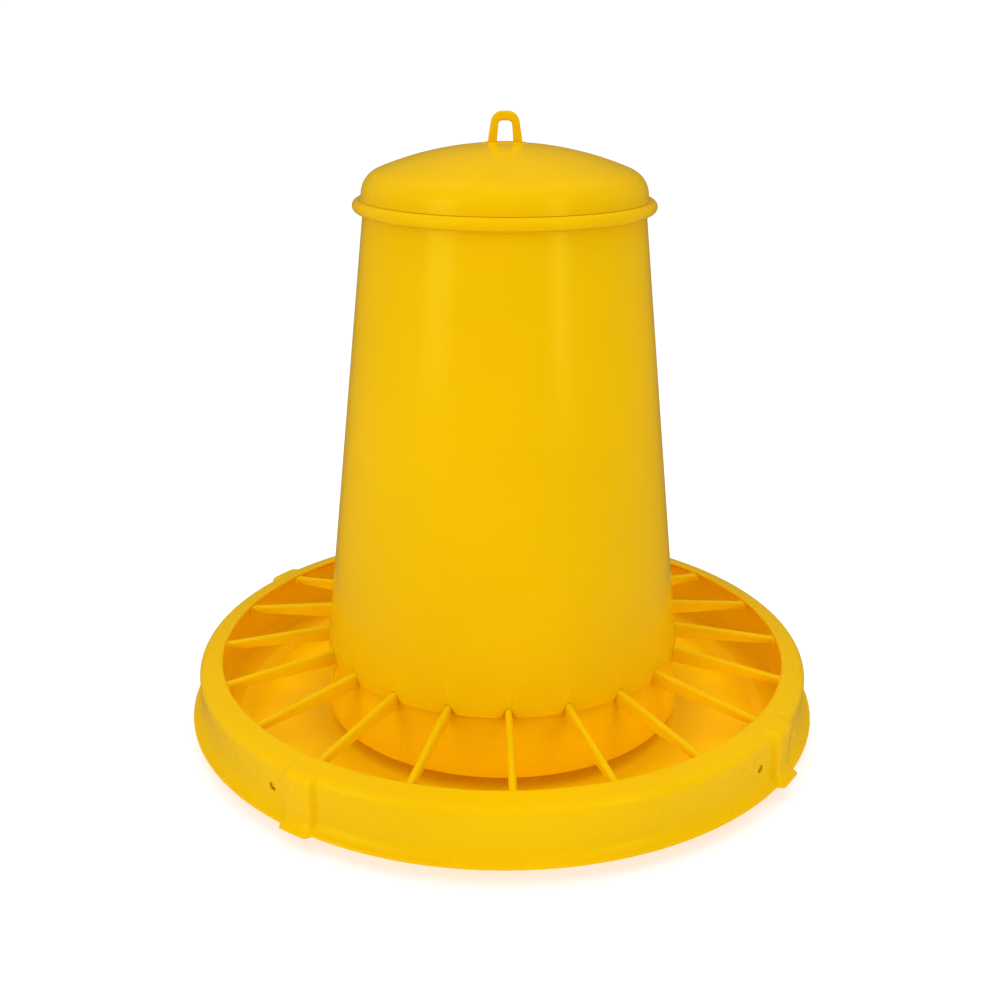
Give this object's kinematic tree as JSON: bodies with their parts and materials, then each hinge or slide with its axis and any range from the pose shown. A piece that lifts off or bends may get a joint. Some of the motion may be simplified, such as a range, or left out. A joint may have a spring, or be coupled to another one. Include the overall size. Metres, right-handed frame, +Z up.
{
  "type": "gravity poultry feeder",
  "caption": "Round gravity feeder for hens: tapered hopper over a trough tray, a spoked grill ring against waste, a loose domed lid and a hanging loop.",
  "frame": {"origin": "centre of the tray's resting face", "axes": "+Z up along the feeder's axis; -Y is the side towards a viewer, and the hanging loop lies in the XZ plane"},
  "size_m": [0.4204, 0.4204, 0.3968],
  "materials": {
    "tray_plastic": "glossy moulded polypropylene, feed yellow",
    "grill_plastic": "glossy moulded polypropylene, feed yellow",
    "hopper_plastic": "glossy moulded polypropylene, feed yellow",
    "hanger_plastic": "glossy moulded polypropylene, feed yellow",
    "lid_plastic": "glossy moulded polypropylene, feed yellow"
  },
  "bodies": {
    "feeder_body": {"grill_ring": "grill_plastic", "hopper": "hopper_plastic", "hanger": "hanger_plastic"},
    "tray_body": {"tray": "tray_plastic"},
    "lid_body": {"lid": "lid_plastic"}
  },
  "joints": [
    {"name": "tray_twist", "type": "hinge", "parent": "feeder_body", "child": "tray_body", "pos_m": [0, 0, 0], "axis": [0, 0, 1], "range_deg": [0, 7.3]},
    {"name": "lid_lift", "type": "slide", "parent": "feeder_body", "child": "lid_body", "axis": [0, 0, 1], "range_m": [0, 0.15]}
  ]
}
